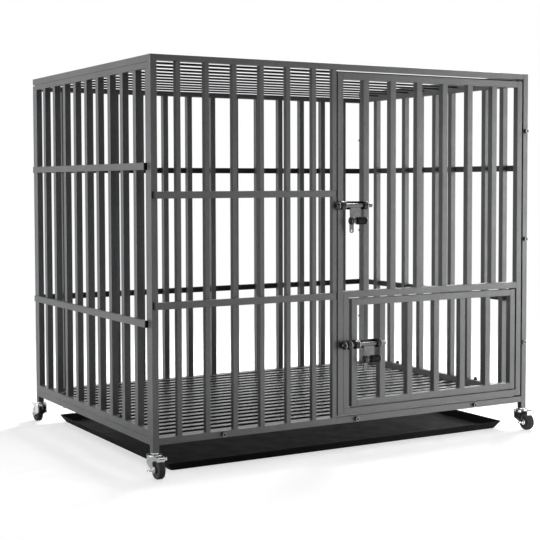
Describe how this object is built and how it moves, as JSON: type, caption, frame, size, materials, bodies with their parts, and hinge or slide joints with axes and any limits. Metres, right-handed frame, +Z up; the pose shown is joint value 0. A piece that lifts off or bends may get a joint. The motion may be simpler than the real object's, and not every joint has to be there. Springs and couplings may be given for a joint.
{
  "type": "dog crate",
  "caption": "Heavy duty dog crate of square steel tube on swivel casters, with a tall barred door, a small door set into it, slide bolts and a pull-out tray.",
  "frame": {"origin": "on the ground under the middle of the crate, between the wheels' lowest points", "axes": "+X along the front from the latch side to the hinge side, the front faces -Y, +Z up"},
  "size_m": [1.2424, 0.9266, 1.035],
  "materials": {
    "frame_paint": "satin dark grey powder coat with a fine grain",
    "black_steel": "black coated steel, half gloss",
    "bolt_steel": "dark brushed steel",
    "black_plastic": "matt black plastic",
    "chrome": "bright plated steel",
    "wheel_rubber": "dull black tread",
    "tray_plastic": "black plastic sheet with a fine grain"
  },
  "bodies": {
    "frame": {"front_posts": "frame_paint", "front_rails": "frame_paint", "front_jamb": "frame_paint", "front_bars": "frame_paint", "front_cross_rails": "frame_paint", "back_posts": "frame_paint", "back_rails": "frame_paint", "back_bars": "frame_paint", "back_cross_rails": "frame_paint", "side_uprights": "frame_paint", "side_rails": "frame_paint", "left_bars": "frame_paint", "right_bars": "frame_paint", "side_cross_rails": "frame_paint", "cross_rail_caps": "black_plastic", "roof_tubes": "frame_paint", "roof_slats": "frame_paint", "floor_tubes": "frame_paint", "floor_bars": "frame_paint", "upper_keeper": "black_steel", "panel_screws": "black_steel", "panel_nuts": "black_steel", "side_bolts": "black_steel", "side_nuts": "black_steel", "caster_stems": "chrome"},
    "main_door": {"door_stiles": "frame_paint", "door_inner_stile": "frame_paint", "door_rails": "frame_paint", "door_bars": "frame_paint", "door_pivots": "black_steel", "upper_latch_strip": "black_steel", "lower_keeper": "black_steel"},
    "small_door": {"small_door_stiles": "frame_paint", "small_door_rails": "frame_paint", "small_door_bars": "frame_paint", "small_door_pivots": "black_steel", "lower_latch_strip": "black_steel"},
    "upper_bolt": {"upper_bolt": "bolt_steel", "upper_grip": "black_plastic"},
    "lower_bolt": {"lower_bolt": "bolt_steel", "lower_grip": "black_plastic"},
    "tray": {"tray": "tray_plastic"},
    "caster_fl": {"caster_fl_fork": "chrome", "caster_fl_axle": "chrome"},
    "wheel_fl": {"caster_fl_wheel": "wheel_rubber"},
    "brake_fl": {"caster_fl_brake": "chrome"},
    "caster_fr": {"caster_fr_fork": "chrome", "caster_fr_axle": "chrome"},
    "wheel_fr": {"caster_fr_wheel": "wheel_rubber"},
    "brake_fr": {"caster_fr_brake": "chrome"},
    "caster_bl": {"caster_bl_fork": "chrome", "caster_bl_axle": "chrome"},
    "wheel_bl": {"caster_bl_wheel": "wheel_rubber"},
    "brake_bl": {"caster_bl_brake": "chrome"},
    "caster_br": {"caster_br_fork": "chrome", "caster_br_axle": "chrome"},
    "wheel_br": {"caster_br_wheel": "wheel_rubber"},
    "brake_br": {"caster_br_brake": "chrome"}
  },
  "joints": [
    {"name": "main_door_hinge", "type": "hinge", "parent": "frame", "child": "main_door", "pos_m": [0.56927, -0.412, 0.55], "axis": [0, 0, 1], "range_deg": [0, 90]},
    {"name": "small_door_hinge", "type": "hinge", "parent": "main_door", "child": "small_door", "pos_m": [0.54674, -0.412, 0.27], "axis": [0, 0, 1], "range_deg": [0, 90]},
    {"name": "upper_bolt_slide", "type": "slide", "parent": "main_door", "child": "upper_bolt", "axis": [-1, 0, 0], "range_m": [0, 0.015]},
    {"name": "lower_bolt_slide", "type": "slide", "parent": "small_door", "child": "lower_bolt", "axis": [-1, 0, 0], "range_m": [0, 0.015]},
    {"name": "tray_slide", "type": "slide", "parent": "frame", "child": "tray", "axis": [0, -1, 0], "range_m": [0, 0.6]},
    {"name": "caster_fl_swivel", "type": "hinge", "parent": "frame", "child": "caster_fl", "pos_m": [-0.59125, -0.41225, 0.055], "axis": [0, 0, 1], "continuous": true},
    {"name": "wheel_fl_spin", "type": "hinge", "parent": "caster_fl", "child": "wheel_fl", "pos_m": [-0.59125, -0.43425, 0.024], "axis": [1, 0, 0], "continuous": true},
    {"name": "brake_fl_tilt", "type": "hinge", "parent": "caster_fl", "child": "brake_fl", "pos_m": [-0.59125, -0.44925, 0.0527], "axis": [1, 0, 0], "range_deg": [0, 8]},
    {"name": "caster_fr_swivel", "type": "hinge", "parent": "frame", "child": "caster_fr", "pos_m": [0.59125, -0.41225, 0.055], "axis": [0, 0, 1], "continuous": true},
    {"name": "wheel_fr_spin", "type": "hinge", "parent": "caster_fr", "child": "wheel_fr", "pos_m": [0.59125, -0.43425, 0.024], "axis": [1, 0, 0], "continuous": true},
    {"name": "brake_fr_tilt", "type": "hinge", "parent": "caster_fr", "child": "brake_fr", "pos_m": [0.59125, -0.44925, 0.0527], "axis": [1, 0, 0], "range_deg": [0, 8]},
    {"name": "caster_bl_swivel", "type": "hinge", "parent": "frame", "child": "caster_bl", "pos_m": [-0.59125, 0.41225, 0.055], "axis": [0, 0, 1], "continuous": true},
    {"name": "wheel_bl_spin", "type": "hinge", "parent": "caster_bl", "child": "wheel_bl", "pos_m": [-0.59125, 0.43425, 0.024], "axis": [-1, 0, 0], "continuous": true},
    {"name": "brake_bl_tilt", "type": "hinge", "parent": "caster_bl", "child": "brake_bl", "pos_m": [-0.59125, 0.44925, 0.0527], "axis": [-1, 0, 0], "range_deg": [0, 8]},
    {"name": "caster_br_swivel", "type": "hinge", "parent": "frame", "child": "caster_br", "pos_m": [0.59125, 0.41225, 0.055], "axis": [0, 0, 1], "continuous": true},
    {"name": "wheel_br_spin", "type": "hinge", "parent": "caster_br", "child": "wheel_br", "pos_m": [0.59125, 0.43425, 0.024], "axis": [-1, 0, 0], "continuous": true},
    {"name": "brake_br_tilt", "type": "hinge", "parent": "caster_br", "child": "brake_br", "pos_m": [0.59125, 0.44925, 0.0527], "axis": [-1, 0, 0], "range_deg": [0, 8]}
  ]
}
